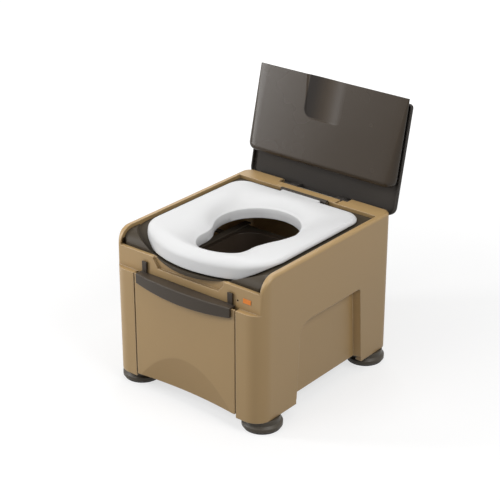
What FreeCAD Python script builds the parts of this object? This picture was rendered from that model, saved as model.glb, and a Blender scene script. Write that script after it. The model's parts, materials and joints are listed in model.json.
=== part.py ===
import FreeCAD, Part
import math
import os
from FreeCAD import Vector as V

# A portable commode with its lid open: a moulded body on adjustable feet, a dished seat,
# a drawer that carries the pail, and a lid in two halves that fold together as a backrest.
# Millimetres. X to the right seen from the front, Y to the rear, Z up from the floor.
# Pieces are drawn about the body's own middle plane and then moved so that the origin lies on
# the floor below the middle of the whole object.

# Body, driving sizes
body_width = 450.0
body_front = 262.0        # middle plane to the lower front face
body_rear = 251.0         # middle plane to the rear face
rim_z = 397.0             # top of the side rims above the floor
leg_z = 32.0              # underside of the legs above the floor
wall = 4.0
front_corner_r = 42.0
rear_corner_r = 26.0
rim_edge_r = 7.0
rim_w = 14.0
rear_rail_w = 52.0
lip_drop = 25.0           # how far the rim's inner lip hangs down
shelf_w = 8.0             # ledge that carries the seat frame

# Front rail, ledge and the rims' rounded front ends
ledge_w = 15.0            # the upper front band stands back by this much
ledge_drop = 89.0         # rim top to the ledge
band_lean = 2.0           # the band leans back by this much up to the rims' roll
rail_drop = 39.0          # rim top to the front rail's top
rail_t = 12.0
rail_foot = 8.0           # the rail reaches this far below the ledge
roll_r = 42.0
dip_half = 112.0          # the rail's top dips in the middle below the seat
dip_depth = 12.0
scoop_half = 91.0         # finger recess in the rail
scoop_flare = 16.0
scoop_h = 19.0
scoop_depth = 7.0
scoop_lift = 23.0         # ledge to the recess's lower edge

# Side recesses that leave four legs
recess_mid = 6.0
recess_half = 131.0
recess_taper = 13.0
recess_top_z = 237.0
recess_depth = 20.0
recess_front_r = 38.0
recess_rear_r = 9.0
recess_draft = 5.0
skirt_lift = 12.0         # the recessed side ends this far above the legs

# Drawer opening and drawer
post_w = 70.0             # front post beside the drawer
return_depth = 70.0       # depth of the wall behind each front post's inner edge
panel_gap = 1.5
panel_lift = 7.0          # the panel ends this far above the legs
panel_corner_r = 3.5
panel_edge_r = 1.5
arch_h = 87.0             # foot-draw hollow in the panel
arch_depth = 5.0
arch_half = 140.0
handle_end = 13.0         # drawer opening's side to the handle's end
handle_reach = 6.0        # handle in front of the panel at its ends
handle_bow = 10.0         # and this much more in the middle
handle_h = 24.0
handle_sag = 10.0
handle_t = 4.0
handle_rise = 4.5         # ledge to the handle's top
handle_edge_r = 2.5
tongue_inset = 12.4       # handle's end to the tongue's middle
tongue_w = 13.0
tongue_h = 28.0
tongue_t = 4.0
runner_t = 4.0
runner_flange = 15.0
runner_arm_y = 78.6       # arms before and behind the side recess's middle
tray_h = 8.0
slide_gap = 0.3
pail_clear = 2.7          # pail's rim to the runners
pail_length = 306.0
pail_corner_r = 60.0
pail_depth = 214.0
pail_taper = 26.0
pail_wall = 3.0
pail_rim = 9.0
tray_back = 13.0          # tray behind the pail's rim

# Seat and seat frame
frame_drop = 9.0          # the frame lies this far below the rims
frame_t = 5.0
frame_gap = 0.5
seat_gap = 18.0           # rim to seat at the sides
seat_set_back = 11.0      # the seat's front edge behind the body's front face
seat_rear_gap = 23.0      # rear rail to seat
seat_rise = 6.0           # seat's top above the rims
seat_lift = 4.0           # seat above its frame, on the bumpers
seat_front_r = 290.0
seat_corner_r = 85.0
seat_rear_r = 45.0
seat_edge_r = 9.0
hole_rear_r = 105.0
hole_front_r = 70.0
hole_waist_r = 85.0
hole_length = 291.0
hole_margin = 73.0        # seat's front edge to the hole
dish_drop = 23.0
dish_w = 50.0
dish_land = 3.0           # flat land round the hole's upper edge
funnel_t = 13.0
funnel_drop = 28.0        # hole wall below its upper edge
bowl_t = 8.0              # seat below the dish
bowl_w = 25.0
bed_crest = 112.0         # where the seat and its bed begin to fall, behind the front face
bed_r = 90.0
bed_drop = 2.0            # the bed's foot below the front rail's top
bed_gap = 5.0             # bed round the seat's outline
bed_flare = 21.0          # the bed's wall leans out by this much up to the frame's top
funnel_gap = 2.0
collar_drop = 14.0        # stiffening lip round the frame's hole
seat_pin_r = 3.0
seat_knuckle_r = 6.5
seat_knuckle_lift = 1.0   # barrel above the frame
seat_tab_half = 58.0
seat_tab = 5.0            # tab behind the seat's rear edge
leaf_t = 3.0              # hinge leaf under the seat's rear edge
leaf_gap = 3.0            # leaf behind the seat's bowl
seat_ear_t = 12.0
bumper_r = 8.0
running_gap = 0.05
side_gap = 0.4

# Lid in two halves, drawn flat: u runs up the lid from its hinge, n towards the front
lid_lean = 12.0           # degrees back from upright
lid_side_gap = 1.0
lid_t = 3.5
lid_flange = 12.0
lid_tail = 4.5            # the lid reaches this far past its hinge
lid_edge_r = 3.4
lid_tail_r = 22.0
lid_end_r = 10.0
lid_rest_gap = 0.4        # closed lid above the rims
hinge_inset = 6.0         # hinge line in front of the body's rear face
hinge_pin_r = 3.0
hinge_knuckle_r = 6.5
hinge_arm_x = 60.0
hinge_arm_w = 24.0
hinge_ear_w = 16.0
hinge_bay_half = 107.0
strap_w = 27.0            # rail left in front of the hinge bay
bay_z_drop = 27.0
fold_u = 278.5            # hinge line to fold line
fold_lip = 9.0            # the front half reaches this far past the fold line
fold_end_gap = 6.0
fold_gap = 1.0            # between the folded halves' edges
lid_seat_gap = 0.6        # closed lid above the seat
front_t = 3.0
front_lean = 5.06         # degrees between the two halves' faces
front_cover = 23.5        # closed lid's front edge behind the body's front face
front_top_r = 8.0         # roll along the sides at the fold
front_low_r = 24.0        # and at the front edge
front_corner = 20.0
fold_pin_r = 2.0
fold_knuckle_r = 4.5
fold_knuckle_w = 5.5
lid_scoop_left = -76.0    # wedge-shaped finger hollow in the front half
lid_scoop_slant = 12.0
lid_scoop_r = 26.0
lid_scoop_right = 10.0
lid_scoop_h = 110.0
lid_scoop_depth = 8.0
lid_scoop_floor = -66.0   # deepest line of the hollow's round floor
stop_r = 5.0

# Feet
foot_inset = 37.0         # foot's middle inside the body's side
foot_front_y = 56.0       # foot's middle behind the front face
foot_rear_y = 45.0        # and in front of the rear face
foot_r = 48.5
foot_top_r = 43.0
foot_rim_h = 14.0
foot_pad_t = 3.0
foot_edge = 3.0           # bevel round the foot's underside
foot_pad_inset = 4.0
stem_r = 9.0
stem_h = 62.0
socket_t = 10.0
boss_r = 17.0
boss_h = 52.0
foot_gap = 0.6
fit_gap = 0.3

# Marker on the front rail
marker_inset = 10.0       # drawer opening's side to the marker
marker_w = 22.0
marker_h = 11.0
marker_t = 1.2
marker_lift = 18.0
peep_inset = 6.0          # drawer opening's side back to the peep hole
peep_r = 2.5

# Levels and planes that several pieces share
half_w = body_width / 2
opening_half = half_w - post_w
handle_half = opening_half - handle_end
tongue_x = handle_half - tongue_inset
marker_x = opening_half + marker_inset
peep_x = opening_half - peep_inset
foot_x = half_w - foot_inset
pail_width = 2 * (opening_half - fit_gap - runner_t - runner_flange - pail_clear - pail_rim)
front_y = -body_front
rear_y = body_rear
ledge_z = rim_z - ledge_drop
rail_z = rim_z - rail_drop
rail_base_z = ledge_z - rail_foot
band_y = front_y + ledge_w
rail_back_y = band_y + rail_t
band_top_y = band_y + band_lean
roll_y = band_top_y + roll_r
roll_z = rim_z - roll_r
rail_front_y = rear_y - rear_rail_w
rim_in = half_w - rim_w
frame_z = rim_z - frame_drop
seat_z = rim_z + seat_rise
bed_crest_y = front_y + bed_crest
seat_front_y = front_y + seat_set_back
seat_rear_y = rail_front_y - seat_rear_gap
seat_half = rim_in - seat_gap
seat_base_z = frame_z + seat_lift
hole_front_y = seat_front_y + hole_margin
hole_mid_y = hole_front_y + hole_length / 2
seat_axis_y = rail_front_y - seat_knuckle_r - side_gap
seat_axis_z = frame_z + seat_knuckle_r + seat_knuckle_lift
tray_top_z = rail_base_z - runner_t - slide_gap
tray_z = tray_top_z - tray_h
tray_half = opening_half - runner_t - 2 * fit_gap - slide_gap
tray_rear_y = hole_mid_y + pail_length / 2 + pail_rim + tray_back
hinge_y = rear_y - hinge_inset
hinge_n = 2 * lid_flange
hinge_z = rim_z + lid_rest_gap - (hinge_n - lid_flange)
lid_half = half_w - lid_side_gap
lean = math.radians(lid_lean)
front_len = (hinge_y - fold_u) - (front_y + front_cover)
dip_r = (dip_half ** 2 + dip_depth ** 2) / (2 * dip_depth)
far = 4 * body_width      # length of a cut that passes right through
cut_over = 1.0            # how far a cut reaches past the face it opens


def box(x0, x1, y0, y1, z0, z1):
    return Part.makeBox(x1 - x0, y1 - y0, z1 - z0, V(x0, y0, z0))


def both_sides(shape):
    """The shape and its mirror image across the middle plane."""
    return shape.fuse(shape.mirror(V(0, 0, 0), V(1, 0, 0)))


def edges_along(shape, axis, test):
    """Straight edges of a shape that run along an axis and whose middle passes a test."""
    found = []
    for edge in shape.Edges:
        if edge.Curve.TypeId != "Part::GeomLine":
            continue
        run = edge.tangentAt(edge.FirstParameter)
        if abs(run.dot(axis)) > 0.999 and test(edge.CenterOfMass):
            found.append(edge)
    return found


def rounded_box(x0, x1, y0, y1, z0, z1, front_r, back_r):
    """A box with upright corners of one radius at the front and another at the back."""
    block = box(x0, x1, y0, y1, z0, z1)
    middle = (y0 + y1) / 2
    block = block.makeFillet(front_r, edges_along(block, V(0, 0, 1), lambda c: c.y < middle))
    return block.makeFillet(back_r, edges_along(block, V(0, 0, 1), lambda c: c.y > middle))


def side_prism(points, x0, x1):
    """A solid whose outline in the YZ plane is given, between two X planes."""
    corners = [V(x0, y, z) for y, z in points]
    return Part.Face(Part.makePolygon(corners + corners[:1])).extrude(V(x1 - x0, 0, 0))


def front_prism(points, y0, y1):
    """A solid whose outline in the XZ plane is given, between two Y planes."""
    corners = [V(x, y0, z) for x, z in points]
    return Part.Face(Part.makePolygon(corners + corners[:1])).extrude(V(0, y1 - y0, 0))


def cylinder_x(r, x0, x1, y, z):
    return Part.makeCylinder(r, x1 - x0, V(x0, y, z), V(1, 0, 0))


def cylinder_y(r, x, y0, y1, z):
    return Part.makeCylinder(r, y1 - y0, V(x, y0, z), V(0, 1, 0))


def cylinder_z(r, x, y, z0, z1):
    return Part.makeCylinder(r, z1 - z0, V(x, y, z0))


def one(shape):
    """A clean single solid out of a boolean result."""
    return shape.removeSplitter().Solids[0]


# Body shell

def band_at(z):
    """Y of the leaning front band at a height."""
    return band_y + band_lean * (z - ledge_z) / (roll_z - ledge_z)


def roll_cut(inset):
    """Everything in front of the ledge, the leaning band and the rims' rounded front ends."""
    foot_z = ledge_z - inset
    out_y = front_y - body_front
    top_z = rim_z + body_front
    r = roll_r - inset
    start = V(-far / 2, roll_y - r, roll_z)
    middle = V(-far / 2, roll_y - r * math.sqrt(0.5), roll_z + r * math.sqrt(0.5))
    crest = V(-far / 2, roll_y, roll_z + r)
    corners = [
        V(-far / 2, roll_y, top_z),
        V(-far / 2, out_y, top_z),
        V(-far / 2, out_y, foot_z),
        V(-far / 2, band_y + inset, foot_z),
    ]
    edges = [Part.LineSegment(crest, corners[0]).toShape()]
    edges += [Part.LineSegment(a, b).toShape() for a, b in zip(corners, corners[1:])]
    edges.append(Part.LineSegment(corners[-1], start).toShape())
    edges.append(Part.Arc(start, middle, crest).toShape())
    return Part.Face(Part.Wire(edges)).extrude(V(far, 0, 0))


def recess(inset):
    """The hollow in the right side, grown by an inset for the inside of the wall."""
    def outline(x, shrink):
        half = recess_half + inset - shrink
        top = recess_top_z + inset - shrink
        low = leg_z - wall
        edges = []
        points = []
        for side, corner_r in ((-1, recess_front_r), (1, recess_rear_r)):
            r = corner_r + inset - shrink
            turn = r * (1 - math.sqrt(0.5))
            shoulder = half - recess_taper * (top - r - low) / (recess_top_z - leg_z)
            points.append([
                V(x, recess_mid + side * half, low),
                V(x, recess_mid + side * shoulder, top - r),
                V(x, recess_mid + side * (shoulder - turn), top - turn),
                V(x, recess_mid + side * (shoulder - r), top),
            ])
        left, right = points
        edges.append(Part.LineSegment(left[0], left[1]).toShape())
        edges.append(Part.Arc(left[1], left[2], left[3]).toShape())
        edges.append(Part.LineSegment(left[3], right[3]).toShape())
        edges.append(Part.Arc(right[3], right[2], right[1]).toShape())
        edges.append(Part.LineSegment(right[1], right[0]).toShape())
        edges.append(Part.LineSegment(right[0], left[0]).toShape())
        return Part.Wire(edges)
    deep = half_w - recess_depth - inset
    outer = outline(half_w + recess_depth, -recess_draft)
    return Part.makeLoft([outline(deep, recess_draft), outer], True, True)


def body_form():
    """The body's outside, before it is hollowed."""
    form = rounded_box(-half_w, half_w, front_y, rear_y, leg_z, rim_z, front_corner_r, rear_corner_r)
    form = form.cut(roll_cut(0))
    top = [e for e in form.Edges if e.CenterOfMass.z > rail_z and on_outline(e)]
    return form.makeFillet(rim_edge_r, top)


def on_outline(edge):
    """Does an edge lie on the body's upright outside, apart from the front band?"""
    c = edge.valueAt((edge.FirstParameter + edge.LastParameter) / 2)
    beside = abs(abs(c.x) - half_w) < rear_corner_r / 3
    behind = abs(c.y - rear_y) < rear_corner_r / 3
    upright = abs(edge.tangentAt(edge.FirstParameter).z) > 0.999
    return (beside or behind) and not upright


def body_cavity():
    """The hollow inside the body's wall, less the rails, lips and returns that stay."""
    inner = half_w - wall
    hollow = rounded_box(-inner, inner, front_y + wall, rear_y - wall, leg_z - wall, rim_z - wall,
                         front_corner_r - wall, rear_corner_r - wall)
    hollow = hollow.cut(roll_cut(wall))
    hollow = hollow.cut(both_sides(recess(wall)))
    hollow = hollow.cut(box(-half_w, half_w, front_y, rail_back_y, rail_base_z, rail_z))
    lip = box(-rim_in - wall, rim_in + wall, rail_back_y, rail_front_y + wall, rim_z - lip_drop, rim_z)
    lip = lip.cut(box(-rim_in, rim_in, front_y, rail_front_y, 0, rim_z))
    shelf_z = frame_z - frame_t
    shelf = box(-rim_in - wall, rim_in + wall, bed_crest_y, rail_front_y + wall, shelf_z - wall, shelf_z)
    shelf = shelf.cut(box(shelf_w - rim_in, rim_in - shelf_w, front_y, rail_front_y - shelf_w, 0, rim_z))
    strap = box(-hinge_bay_half, hinge_bay_half, rail_front_y, rail_front_y + strap_w,
                rim_z - lip_drop, rim_z)
    returns = box(opening_half, opening_half + wall, front_y, front_y + return_depth, leg_z, rail_base_z)
    for keep in (lip, shelf, strap, both_sides(returns)):
        hollow = hollow.cut(keep)
    return hollow


def body_shell():
    shell = body_form().cut(both_sides(recess(0)))
    shell = shell.cut(body_cavity())
    # top opening, above the shelf that carries the seat frame
    shell = shell.cut(box(-rim_in, rim_in, rail_back_y, rail_front_y, frame_z - frame_t, rim_z + wall))
    shell = shell.cut(box(-rim_in, rim_in, front_y, roll_y, rail_z, rim_z + wall))
    # dip and finger recess in the front rail
    shell = shell.cut(cylinder_y(dip_r, 0, front_y, rail_back_y + cut_over, rail_z - dip_depth + dip_r))
    low = ledge_z + scoop_lift
    wide = scoop_half + scoop_flare
    scoop = [(-scoop_half, low), (scoop_half, low), (wide, low + scoop_h), (wide, rim_z),
             (-wide, rim_z), (-wide, low + scoop_h)]
    shell = shell.cut(front_prism(scoop, front_y, band_at(low) + scoop_depth))
    # drawer opening below the rail
    shell = shell.cut(box(-opening_half, opening_half, front_y - cut_over, band_y, 0, ledge_z + cut_over))
    shell = shell.cut(box(-opening_half, opening_half, front_y - cut_over, rail_back_y + wall,
                          0, rail_base_z))
    # recessed sides end above the legs
    skirt = box(half_w - recess_depth - 2 * wall, far, recess_mid - recess_half, recess_mid + recess_half,
                0, leg_z + skirt_lift)
    shell = shell.cut(both_sides(skirt))
    # hinge bay for the lid and the seat of the strap over the hinges
    shell = shell.cut(box(-hinge_bay_half, hinge_bay_half, rail_front_y + strap_w, rear_y + cut_over,
                          rim_z - bay_z_drop, rim_z + cut_over))
    shell = shell.cut(box(-strap_half(), strap_half(), rail_front_y + wall, rear_y + cut_over,
                          rim_z - wall, rim_z + cut_over))
    shell = shell.cut(cylinder_y(peep_r, peep_x, front_y, rail_back_y + cut_over, ledge_z + marker_lift))
    return one(shell)


def strap_half():
    """Half the length of the slot that takes the strap, inside the hinge bay."""
    return hinge_bay_half - rim_w


def hinge_strap():
    """Cover strip along the rear rail, with a drain gap at its right end."""
    end = strap_half() - fit_gap
    return box(-end, end - rim_w / 2, rail_front_y + wall + fit_gap, rail_front_y + strap_w,
               rim_z - wall, rim_z)


def marker():
    x1 = marker_x + marker_w
    z0 = ledge_z + marker_lift
    z1 = z0 + marker_h
    face = [(band_at(z0), z0), (band_at(z1), z1), (band_at(z1) - marker_t, z1),
            (band_at(z0) - marker_t, z0)]
    return side_prism(face, marker_x, x1)


# Seat and seat frame

def pear(grow, z0, z1):
    """An upright solid with the seat hole's keyhole outline, grown all round."""
    return Part.Face(pear_wire(grow, z0)).extrude(V(0, 0, z1 - z0))


def pear_wire(grow, z):
    """Two arcs joined by hollow waist arcs that are tangent to both."""
    r1 = hole_rear_r + grow
    r2 = hole_front_r + grow
    r3 = hole_waist_r - grow
    c1 = hole_front_y + hole_length - hole_rear_r
    c2 = hole_front_y + hole_front_r
    d = c1 - c2
    a = r1 + r3
    b = r2 + r3
    y = c1 - (a * a - b * b + d * d) / (2 * d)
    x = math.sqrt(a * a - (c1 - y) ** 2)
    rear_in = V(x * r1 / a, c1 + (y - c1) * r1 / a, z)
    front_in = V(x * r2 / b, c2 + (y - c2) * r2 / b, z)
    middle = V((rear_in.x + front_in.x) / 2, (rear_in.y + front_in.y) / 2, z)
    pull = (middle - V(x, y, z)).normalize()
    hollow = V(x, y, z) + pull * r3
    left = [V(-p.x, p.y, p.z) for p in (rear_in, front_in, hollow)]
    return Part.Wire([
        Part.Arc(left[0], V(0, c1 + r1, z), rear_in).toShape(),
        Part.Arc(rear_in, hollow, front_in).toShape(),
        Part.Arc(front_in, V(0, c2 - r2, z), left[1]).toShape(),
        Part.Arc(left[1], left[2], left[0]).toShape(),
    ])


def bow_centre():
    """Y of the centre of the seat's bowed front edge."""
    return seat_front_y + seat_front_r


def seat_wire(grow, z0):
    """The seat's outline from above: bowed front, wide front corners, smaller rear corners."""
    c = bow_centre()
    cx = seat_half - seat_corner_r
    reach = seat_front_r - seat_corner_r
    cy = c - math.sqrt(reach ** 2 - cx ** 2)
    out = V(cx, cy - c, 0).normalize()
    turn = (out + V(1, 0, 0)).normalize()
    bow = V(0, c, z0) + out * (seat_front_r + grow)
    mid = V(cx, cy, z0) + turn * (seat_corner_r + grow)
    side = V(seat_half + grow, cy, z0)
    r = seat_rear_r + grow
    knee = r * (1 - math.sqrt(0.5))
    back = seat_rear_y + grow
    rear_side = V(seat_half + grow, back - r, z0)
    rear_mid = V(seat_half + grow - knee, back - knee, z0)
    rear = V(seat_half + grow - r, back, z0)
    right = [bow, mid, side, rear_side, rear_mid, rear]
    left = [V(-p.x, p.y, p.z) for p in right]
    return Part.Wire([
        Part.Arc(left[0], V(0, seat_front_y - grow, z0), right[0]).toShape(),
        Part.Arc(right[0], right[1], right[2]).toShape(),
        Part.LineSegment(right[2], right[3]).toShape(),
        Part.Arc(right[3], right[4], right[5]).toShape(),
        Part.LineSegment(right[5], left[5]).toShape(),
        Part.Arc(left[5], left[4], left[3]).toShape(),
        Part.LineSegment(left[3], left[2]).toShape(),
        Part.Arc(left[2], left[1], left[0]).toShape(),
    ])


def under(top, crest_y, r, foot):
    """All that lies under a level which rolls over at a crest and falls to a flat foot."""
    x = -far / 2
    centre_z = top - r
    nose_y = crest_y - math.sqrt(r * r - (foot - centre_z) ** 2)
    half_way = math.acos((foot - centre_z) / r) / 2
    crest = V(x, crest_y, top)
    bend = V(x, crest_y - r * math.sin(half_way), centre_z + r * math.cos(half_way))
    nose = V(x, nose_y, foot)
    corners = [nose, V(x, 2 * front_y, foot), V(x, 2 * front_y, 0), V(x, rear_y, 0), V(x, rear_y, top),
               crest]
    edges = [Part.Arc(crest, bend, nose).toShape()]
    edges += [Part.LineSegment(p, q).toShape() for p, q in zip(corners, corners[1:])]
    return Part.Face(Part.Wire(edges)).extrude(V(far, 0, 0))


frame_roll_r = frame_z - roll_z
bed_z = rail_z - bed_drop


def frame_top(drop, grow):
    """The frame's upper surface, lowered by a drop: a rolled front with a bed for the seat."""
    roll = under(frame_z - drop, roll_y, frame_roll_r - drop, rail_z - drop)
    bed = under(frame_z - drop, bed_crest_y, bed_r - drop, bed_z - drop)
    low = seat_wire(bed_gap + grow, bed_z - drop)
    spread = bed_flare * (rim_z - bed_z) / (frame_z - bed_z)
    high = seat_wire(bed_gap + spread + grow, rim_z - drop)
    return roll.cut(Part.makeLoft([low, high], True, True).cut(bed))


def seat_frame():
    edge = rim_in - frame_gap
    front = rail_back_y + frame_gap
    plan = rounded_box(-edge, edge, front, rail_front_y - frame_gap, 0, rim_z, rim_w, rim_edge_r)
    bow = cylinder_z(seat_front_r + bed_gap, 0, bow_centre(), 0, rim_z)
    apron = bow.common(box(-half_w, half_w, front_y, front + wall, rail_z - 2 * dip_depth, bed_z))
    dip = cylinder_y(dip_r - frame_gap, 0, front_y, rail_back_y + wall, rail_z - dip_depth + dip_r)
    top = frame_top(0, 0)
    frame = top.cut(frame_top(frame_t, frame_t)).common(plan)
    frame = frame.fuse(apron.common(dip))
    hole = funnel_t + bowl_w + funnel_gap
    collar = pear(hole + wall, frame_z - frame_t - collar_drop, frame_z)
    frame = frame.fuse(collar.common(top))
    return one(frame.cut(pear(hole, 0, rim_z)))


def seat():
    pad = Part.Face(seat_wire(0, bed_z)).extrude(V(0, 0, seat_z - bed_z))
    rim = [e for e in pad.Edges if abs(e.BoundBox.ZMin - seat_z) < 0.01]
    pad = pad.makeFillet(seat_edge_r, rim)
    pad = pad.cut(under(seat_base_z, bed_crest_y, bed_r + seat_lift, bed_z + seat_lift))
    lip_z = seat_z - dish_drop
    bowl_z = lip_z - bowl_t
    bowl = [pear_wire(funnel_t, bowl_z), pear_wire(funnel_t + bowl_w, seat_base_z)]
    pad = pad.fuse(Part.makeLoft(bowl, True, True))
    pad = pad.fuse(pear(funnel_t, lip_z - funnel_drop, bowl_z + bowl_t / 2))
    pad = pad.cut(pear(0, 0, rim_z + body_front))
    dish = []
    for step in (0, 0.25, 0.5, 0.75, 1.0):
        rise = 0.75 * math.sin(step * math.pi / 2) + 0.25 * step
        dish.append(pear_wire(dish_land + (dish_w - dish_land) * step, lip_z + dish_drop * rise))
    pad = pad.cut(Part.makeLoft(dish, True, False))
    tab = box(-seat_tab_half, seat_tab_half, seat_rear_y - seat_edge_r, seat_rear_y + seat_tab,
              seat_base_z, seat_z - seat_knuckle_lift)
    return one(pad.fuse(tab))


def seat_hinge_leaf():
    """Leaf fixed under the seat's rear edge, with the barrel that turns on the hinge pin."""
    low = seat_base_z - leaf_t
    near = hole_front_y + hole_length + funnel_t + bowl_w + leaf_gap
    leaf = box(-seat_tab_half, seat_tab_half, near, seat_axis_y, low, seat_base_z)
    leaf = leaf.fuse(cylinder_x(seat_knuckle_r, -seat_tab_half, seat_tab_half, seat_axis_y, seat_axis_z))
    return one(leaf.cut(cylinder_x(seat_pin_r + running_gap, -far / 2, far / 2, seat_axis_y, seat_axis_z)))


def seat_bumpers():
    spots = []
    side = seat_half - 3 * bumper_r
    for y in (bed_crest_y + 2 * bumper_r, seat_rear_y - seat_rear_r):
        for x in (-side, side):
            spots.append(cylinder_z(bumper_r, x, y, frame_z + slide_gap, seat_base_z))
    return Part.makeCompound(spots)


def seat_ear(side):
    """Bracket on the seat frame that holds one end of the seat's hinge pin."""
    x0 = seat_tab_half + side_gap
    ear = box(x0, x0 + seat_ear_t, seat_axis_y - seat_knuckle_r, seat_axis_y + seat_knuckle_r,
              frame_z, seat_axis_z)
    ear = ear.fuse(cylinder_x(seat_knuckle_r, x0, x0 + seat_ear_t, seat_axis_y, seat_axis_z))
    ear = one(ear.cut(cylinder_x(seat_pin_r, 0, far, seat_axis_y, seat_axis_z)))
    return ear if side > 0 else ear.mirror(V(0, 0, 0), V(1, 0, 0))


def seat_pin():
    end = seat_tab_half + side_gap + seat_ear_t
    return cylinder_x(seat_pin_r, -end, end, seat_axis_y, seat_axis_z)


# Drawer

def runner(side):
    """Channel for one edge of the tray, carried by the front return and the side wall."""
    out = opening_half - fit_gap
    z0 = tray_z - slide_gap - runner_t
    y0 = rail_back_y + wall
    y1 = tray_rear_y + pail_rim
    channel = box(out - runner_t - runner_flange, out, y0, y1, z0, rail_base_z - fit_gap)
    channel = channel.cut(box(0, out - runner_t, y0, y1, z0 + runner_t, tray_top_z + slide_gap))
    reach = half_w - wall - fit_gap
    for y in (recess_mid - runner_arm_y, recess_mid + runner_arm_y):
        arm = box(out, reach, y - runner_flange / 2, y + runner_flange / 2, z0, z0 + runner_t)
        pad = box(reach - runner_t, reach, y - runner_flange, y + runner_flange, z0 - runner_flange,
                  rail_base_z)
        channel = channel.fuse(arm).fuse(pad)
    channel = one(channel)
    return channel if side > 0 else channel.mirror(V(0, 0, 0), V(1, 0, 0))


panel_half = opening_half - panel_gap
panel_base_z = leg_z + panel_lift
panel_back_y = front_y + wall
handle_z = ledge_z + handle_rise


def arch_cylinder(r):
    """Leaning cylinder that hollows the foot of the drawer's panel into an arch."""
    tilt = math.atan2(arch_depth, arch_h)
    foot = V(0, front_y + arch_depth, panel_base_z)
    axis = V(0, -math.sin(tilt), math.cos(tilt))
    square = V(0, -math.cos(tilt), -math.sin(tilt))
    base = foot + square * arch_r() - axis * body_front
    return Part.makeCylinder(r, 2 * body_front, base, axis)


def arch_r():
    return (arch_half ** 2 + arch_depth ** 2) / (2 * arch_depth)


def drawer_front():
    top = handle_z - handle_t
    blank = box(-panel_half, panel_half, front_y, panel_back_y + arch_depth, panel_base_z, top)
    foot = edges_along(blank, V(0, 1, 0), lambda c: c.z < ledge_z / 2)
    blank = blank.makeFillet(panel_corner_r, foot)
    face = [f for f in blank.Faces if abs(f.BoundBox.YMax - front_y) < 0.01][0]
    soft = [e for e in face.Edges if e.CenterOfMass.z < top - 1]
    blank = blank.makeFillet(panel_edge_r, soft)
    plate = blank.common(box(-half_w, half_w, front_y, panel_back_y, 0, rim_z))
    plate = plate.fuse(arch_cylinder(arch_r() + wall).common(blank))
    plate = plate.cut(arch_cylinder(arch_r()))
    return one(plate)


def bow_solid(reach, z0, z1):
    """Plan of the handle from the front rail to a bowed front line."""
    half = handle_half
    bow_r = (half ** 2 + handle_bow ** 2) / (2 * handle_bow)
    front = front_y - reach - handle_bow
    disc = cylinder_z(bow_r, 0, front + bow_r, z0, z1)
    return disc.common(box(-half, half, front - cut_over, band_y - 2 * slide_gap, z0, z1))


def drawer_handle():
    """Bowed pull across the drawer's top: top wall, hanging lip, end caps and two tongues."""
    low = handle_z - handle_h - handle_sag
    whole = bow_solid(handle_reach, low, handle_z)
    hollow = bow_solid(handle_reach - handle_t, low, handle_z - handle_t)
    hollow = hollow.common(box(handle_t - handle_half, handle_half - handle_t, -far, band_y, 0, rim_z))
    pull = whole.cut(hollow)
    pull = pull.cut(box(-far, far, front_y - fit_gap, 0, 0, handle_z - handle_t))
    sag_r = (handle_half ** 2 + handle_sag ** 2) / (2 * handle_sag)
    pull = pull.common(cylinder_y(sag_r, 0, front_y - 4 * handle_bow, 0, low + sag_r))
    crest = [e for e in pull.Edges if abs(e.BoundBox.ZMin - handle_z) < 0.01 and e.BoundBox.YMax < front_y]
    pull = pull.makeFillet(handle_edge_r, crest)
    for x in (-tongue_x, tongue_x):
        back = band_y - 2 * slide_gap
        pull = pull.fuse(box(x - tongue_w / 2, x + tongue_w / 2, back - tongue_t, back,
                             handle_z - handle_t, handle_z + tongue_h))
    return one(pull)


def pail_block(grow, z0, z1, shrink):
    """Tapered block with round corners for the pail and for the hole that takes it."""
    r = pail_corner_r + grow
    x = pail_width / 2 - pail_corner_r
    y = pail_length / 2 - pail_corner_r
    rings = []
    for z, reach in ((z0, r - shrink), (z1, r)):
        corners = [V(x, y + reach, 0), V(-x, y + reach, 0), V(-x - reach, y, 0), V(-x - reach, -y, 0),
                   V(-x, -y - reach, 0), V(x, -y - reach, 0), V(x + reach, -y, 0), V(x + reach, y, 0)]
        rings.append(Part.makePolygon([c + V(0, hole_mid_y, z) for c in corners + corners[:1]]))
    block = Part.makeLoft(rings, True, True)
    for cx in (-x, x):
        for cy in (hole_mid_y - y, hole_mid_y + y):
            if shrink:
                block = block.fuse(Part.makeCone(r - shrink, r, z1 - z0, V(cx, cy, z0)))
            else:
                block = block.fuse(cylinder_z(r, cx, cy, z0, z1))
    return block.removeSplitter()


def drawer_tray():
    plate = box(-tray_half, tray_half, panel_back_y, tray_rear_y, tray_z, tray_top_z)
    skirt = pail_block(fit_gap + wall, tray_z - runner_flange, tray_z + cut_over, 0)
    plate = plate.fuse(skirt)
    for x in (-scoop_half, scoop_half):
        gusset = [(panel_back_y, tray_z), (hole_mid_y - pail_length / 2, tray_z),
                  (panel_back_y, tray_z - 4 * runner_flange)]
        plate = plate.fuse(side_prism(gusset, x - wall / 2, x + wall / 2))
    hole = pail_block(fit_gap, tray_z - 5 * runner_flange, tray_top_z + cut_over, 0)
    return one(plate.cut(hole))


def pail():
    base = tray_top_z - pail_depth
    rim_t = pail_wall - 2 * fit_gap
    outer = pail_block(0, base, tray_top_z, pail_taper)
    rim = pail_block(pail_rim, tray_top_z, tray_top_z + rim_t, 0)
    inner = pail_block(-pail_wall, base + pail_wall, tray_top_z + rim_t, pail_taper)
    return one(outer.fuse(rim).cut(inner))


# Lid

def lid_place(shape):
    """From the lid's flat drawing (x, u, n) to its open place on the body."""
    shape.translate(V(0, 0, -hinge_n))
    shape.rotate(V(0, 0, 0), V(1, 0, 0), 90 - lid_lean)
    shape.translate(V(0, hinge_y, hinge_z))
    return shape


fold_n = lid_flange
rear_end_u = fold_u - fold_end_gap
front_back_n = 2 * fold_n + fold_gap
knuckle_x = seat_half + seat_gap / 2 - fold_knuckle_w


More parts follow.
